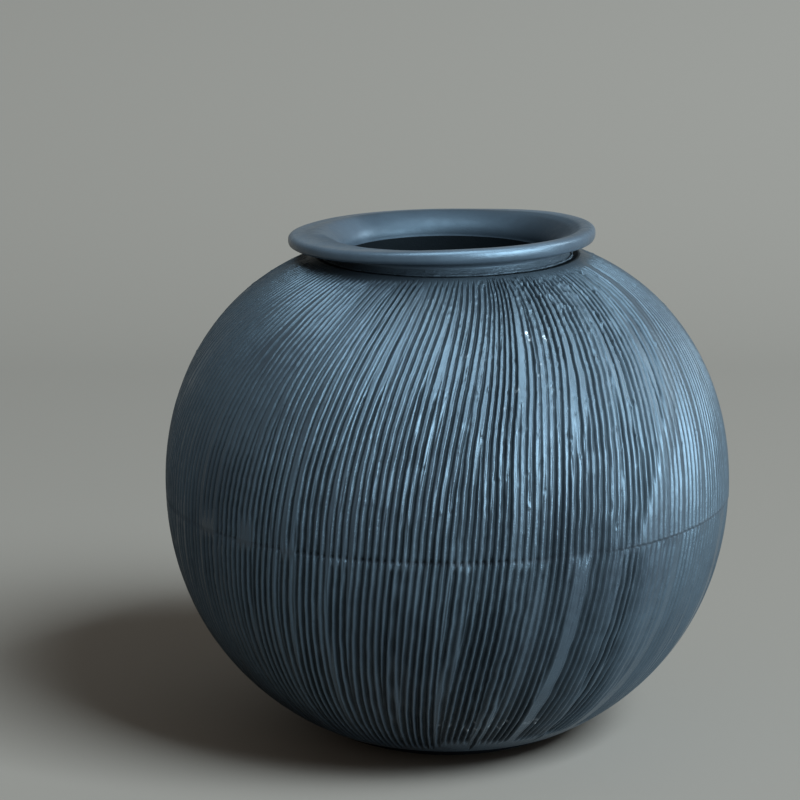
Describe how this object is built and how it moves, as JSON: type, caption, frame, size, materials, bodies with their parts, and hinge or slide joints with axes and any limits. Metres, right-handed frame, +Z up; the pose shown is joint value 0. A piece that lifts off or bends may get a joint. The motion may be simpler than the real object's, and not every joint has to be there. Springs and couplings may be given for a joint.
{
  "type": "clay pot",
  "caption": "Globe-shaped black clay pot with combed grooves, a belly seam and a short collar with an everted lip, for dry stems, small goods or display.",
  "frame": {"origin": "centre of the flat foot, on the surface that the pot stands on", "axes": "+Z up along the pot's axis; +X to the right and -Y towards the viewer who sees the belly seam's step on the right"},
  "size_m": [0.22, 0.22, 0.1995],
  "materials": {
    "plain_clay": "matt smoke-fired black clay, wiped smooth",
    "combed_clay": "satin blue-black clay, combed while leather hard",
    "slip": "matt dried slip, slightly rough",
    "collar_clay": "satin blue-black clay, burnished smooth"
  },
  "bodies": {
    "root": {"floor_disc": "plain_clay", "lower_bowl": "combed_clay", "seam_slip": "slip", "upper_bowl": "combed_clay", "neck_coil": "slip", "neck_collar": "collar_clay"}
  },
  "joints": []
}
